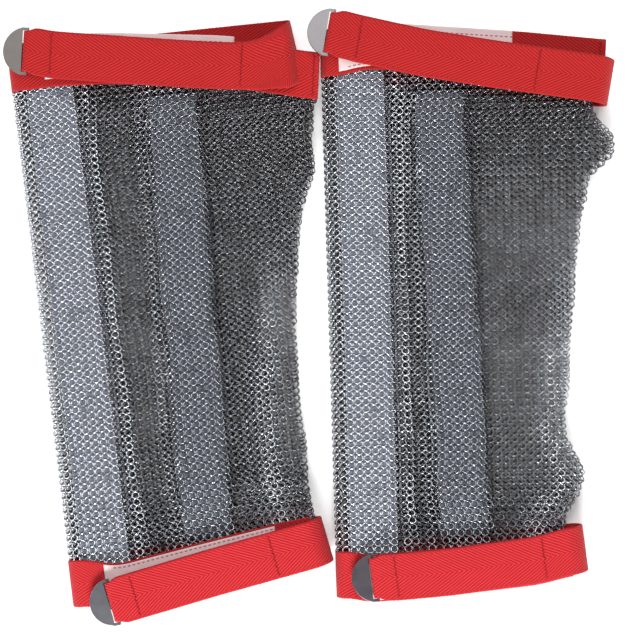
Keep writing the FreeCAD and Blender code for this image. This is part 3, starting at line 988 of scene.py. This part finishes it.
def build_end(sleeve, end, materials, shape):
    """The band, the strap with its loop, the label and the stitches of one end."""
    lines = EndLines(sleeve, end, shape.slip)
    key, body, closure = lines.key, "sleeve_" + sleeve.key, lines.key + "closure"

    band_rails = lines.band_rails()
    band, _, band_run = ribbon(key + "band_webbing", band_rails, WEBBING, shape.webbing, selvage=SELVAGE)
    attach(band, body)
    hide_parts(*(key + part for part in ("band_front", "band_side", "band_back")))

    strap_rails = lines.strap_rails(shape.sway, shape.unwound, shape.curl)
    strap, rails, run = ribbon(key + "strap_webbing", strap_rails, WEBBING, shape.webbing, selvage=SELVAGE)
    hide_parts(*(key + part for part in ("strap_loop", "strap", "strap_fold")))
    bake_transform(strap)

    label_piece(lines, materials, body)
    stitch_pieces(lines, rails, materials, body, closure)
    hook = frame["nodes"][key + "hook_plate"]
    hook.data.materials.clear()
    hook.data.materials.append(materials["hook_" + key[:-1]])


def label_piece(lines, materials, body):
    """The label, lying on the band's front."""
    _, shares, offs = lines.on_front(points_of(lines.key + "label")[:, :2])
    width = np.ptp(offs)
    z = middle_height(lines.key + "label")
    share = np.linspace(shares.min(), shares.max(), 60)
    rails = []
    for off in (-0.5, 0.5):
        path = lines.front_point(share, 0.5 + off * width / WEBBING_WIDTH)
        path = path + lines.slip * lines.open_way
        ripple = 0.06 * MM * np.sin(share * 40 + off * 3)
        rails.append(np.concatenate([path, (z + 0.05 * MM + ripple)[:, None]], 1))
    label, _, run = ribbon(lines.key + "label_cloth", np.array(rails), LABEL, materials["label"],
                           step=1.5 * MM, soften=0)
    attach(label, body)
    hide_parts(lines.key + "label")


def stitch_pieces(lines, rails, materials, body, closure):
    """Zigzag rows: two across the strap, one at the band's cut end."""
    above = WEBBING / 2 + 0.05 * MM
    middle = rails.mean(0)
    along = (middle[:, :2] - lines.hinge[:2]) @ lines.way
    on_top = (along > 1 * MM) & (middle[:, 2] > lines.strap_bottom)
    rows = []
    for away in strap_stitch_rows(lines):
        at = np.where(on_top)[0][np.argmin(np.abs(along[on_top] - away))]
        place = middle[at]
        rows += zigzag(place[:2], lines.across, lines.way, place[2] + above)
    threads = thread_tube(rows, lines.key + "strap_thread", materials["thread"])
    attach(threads, closure)
    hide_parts(lines.key + "strap_stitches")

    way, share, _ = lines.on_front(points_of(lines.key + "band_stitches")[:, :2].mean(0))
    across = unit(lines.front[1, 1] - lines.front[1, 0])
    rows = zigzag(lines.front_point(share, 0.5), across, way, lines.front_z + above)
    threads = thread_tube(rows, lines.key + "band_thread", materials["thread"])
    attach(threads, body)
    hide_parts(lines.key + "band_stitches")


def pocket_piece(sleeve, name, material):
    """The flat tape tunnel round a stay, open at both ends."""
    node = sleeve.key + "_" + name + "_pocket"
    stay = sleeve.key + "_" + name + "_stay"
    ends = sleeve.stay_line("_" + name + "_pocket")
    way = unit(ends[1] - ends[0])
    across = np.array([way[1], -way[0]])
    stay_low, stay_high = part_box(stay)
    low, high = stay_low.z - STAY_PLAY - TAPE, stay_high.z + STAY_PLAY + TAPE
    half_height = (high - low) / 2
    middle_z = (high + low) / 2
    turns = np.linspace(0, math.tau, 49)[:-1]

    def outline(inset):
        """A flat oval, this far inside the tape's outer face."""
        wide, tall = POCKET_HALF - inset, half_height - inset
        c, s = np.cos(turns), np.sin(turns)
        x = wide * np.sign(c) * np.abs(c) ** 0.35
        z = tall * np.sign(s) * np.abs(s) ** 0.35
        return x, z

    length = float(np.linalg.norm(ends[1] - ends[0]))
    stations = np.linspace(0, length, int(length / (3 * MM)))
    shells = []
    for inset in (0.0, TAPE):
        x, z = outline(inset)
        plan = ends[0] + stations[:, None, None] * way + x[None, :, None] * across
        height = np.broadcast_to((middle_z + z)[None, :, None], plan.shape[:2] + (1,))
        shells.append(np.concatenate([plan, height], -1))
    count, size = shells[0].shape[:2]
    vertices = np.concatenate([shell.reshape(-1, 3) for shell in shells])
    outer = tube_quads(count, size, flip=True)
    inner = outer[:, ::-1] + count * size
    rims = []
    for row, flip in ((0, 1), (count - 1, -1)):
        k = np.arange(size)
        near, far = row * size + k, row * size + (k + 1) % size
        rim = np.stack([near, far, far + count * size, near + count * size], -1)
        rims.append(rim[:, ::flip])
    obj = new_mesh(node + "_tape", vertices, np.concatenate([outer, inner] + rims), [material])
    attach(obj, "sleeve_" + sleeve.key)
    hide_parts(node)


# The scene

materials = {
    "label": label_material(),
    "thread": thread_material(),
    # The four hook plates are one steel: their different greys are painted light and shade for each plate.
    "hook_a_elbow": hook_material("hook_steel_1", (0.22, 0.20, 0.19), False),
    "hook_a_wrist": hook_material("hook_steel_2", (0.24, 0.24, 0.27), False),
    "hook_b_elbow": hook_material("hook_steel_3", (0.30, 0.285, 0.295), True),
    "hook_b_wrist": hook_material("hook_steel_4", (0.168, 0.155, 0.178), True),
}
# The elbow and wrist webbing are one red: the elbow copy is darker as painted shade, the wrist copy lighter
# as painted light.
red_elbow_shaded = webbing_material("webbing_red_elbow", (0.385, 0.0075, 0.008), (0.475, 0.013, 0.014))
red_wrist_lit = webbing_material("webbing_red_wrist", (0.42, 0.010, 0.014), (0.52, 0.018, 0.024))
steels = ring_steels()
# Both pockets are one tape: the middle pocket's copy is about half as light, as painted shade.
tapes = {
    "side": tape_material("pocket_tape_side", (0.215, 0.233, 0.275)),
    "middle": tape_material("pocket_tape_middle_shaded", (0.11, 0.118, 0.138)),
}
strip = stay_material()

for sleeve in SLEEVES:
    ring_pieces(sleeve, "front", steels)
    ring_pieces(sleeve, "back", steels)
    for name in ("side", "middle"):
        pocket_piece(sleeve, name, tapes[name])
        node = frame["nodes"][sleeve.key + "_" + name + "_stay"]
        node.data.materials.clear()
        node.data.materials.append(strip)

ENDS = {
    ("a", "elbow"): EndShape(
        red_elbow_shaded,
        Sway((0, 0.0), (0.1, -2.0), (0.3, -2.6), (0.6, -2.0), (0.9, -1.4), (1, 0)),
        unwound=0.1, curl=9.5 * MM, slip=3.2 * MM,
    ),
    ("a", "wrist"): EndShape(red_wrist_lit, Sway((0, 0), (0.5, -0.4), (1, 0))),
    ("b", "elbow"): EndShape(
        red_elbow_shaded,
        Sway((0, 0), (0.35, -1.8), (0.65, -2.4), (0.9, -0.8), (1, 0)),
        slip=1.0 * MM,
    ),
    ("b", "wrist"): EndShape(red_wrist_lit, Sway((0, 0), (0.15, 2.2), (0.6, 2.2), (0.9, 0.8), (1, 0))),
}
for sleeve in SLEEVES:
    for end in ("elbow", "wrist"):
        build_end(sleeve, end, materials, ENDS[sleeve.key, end])

# Floor, light and camera

size = (CAD_BOX[1] - CAD_BOX[0]).length
bpy.ops.mesh.primitive_plane_add(size=12 * size, location=(0, 0, 0))
floor = bpy.context.object
floor.name = "floor"
floor.data.materials.append(floor_material())


def soft_light(name, place, target, power, width, height):
    data = bpy.data.lights.new(name, "AREA")
    data.shape = "RECTANGLE"
    data.size, data.size_y = width, height
    data.energy = power
    lamp = bpy.data.objects.new(name, data)
    lamp.location = place
    lamp.rotation_euler = (Vector(target) - Vector(place)).to_track_quat("-Z", "Y").to_euler()
    bpy.context.scene.collection.objects.link(lamp)
    return lamp


MIDDLE = (0, 0, 0)
soft_light("key", (-0.08, -1.30, 0.80), MIDDLE, 39.0, 0.8, 0.4)
soft_light("left", (-1.30, 0.30, 0.75), MIDDLE, 5.0, 0.7, 0.5)
soft_light("right", (1.30, 0.10, 0.75), MIDDLE, 5.0, 0.7, 0.5)
soft_light("behind", (0.20, 1.50, 1.10), MIDDLE, 10.0, 1.2, 0.5)
table_light = soft_light("table", (0.0, 1.50, 1.00), MIDDLE, 35.0, 1.6, 0.5)
table_only = bpy.data.collections.new("table_only")
table_only.objects.link(floor)
table_light.light_linking.receiver_collection = table_only
soft_light("top", (0.0, 0.60, 1.45), MIDDLE, 7.0, 1.2, 0.9)
world = bpy.data.worlds.new("studio")
world.use_nodes = True
world.node_tree.nodes["Background"].inputs["Color"].default_value = (1, 1, 1, 1)
world.node_tree.nodes["Background"].inputs["Strength"].default_value = 0.08
bpy.context.scene.world = world
bpy.context.scene.view_settings.view_transform = "Standard"

VIEW_WIDTH = 339.2 * MM
CAMERA_HEIGHT = 0.95
camera_data = bpy.data.cameras.new("camera")
camera_data.sensor_width = 36.0
camera_data.lens = 36.0 * (CAMERA_HEIGHT - 14 * MM) / VIEW_WIDTH
camera = bpy.data.objects.new("camera", camera_data)
camera.location = (5.22 * MM, -1.46 * MM, CAMERA_HEIGHT)
bpy.context.scene.collection.objects.link(camera)
bpy.context.scene.camera = camera
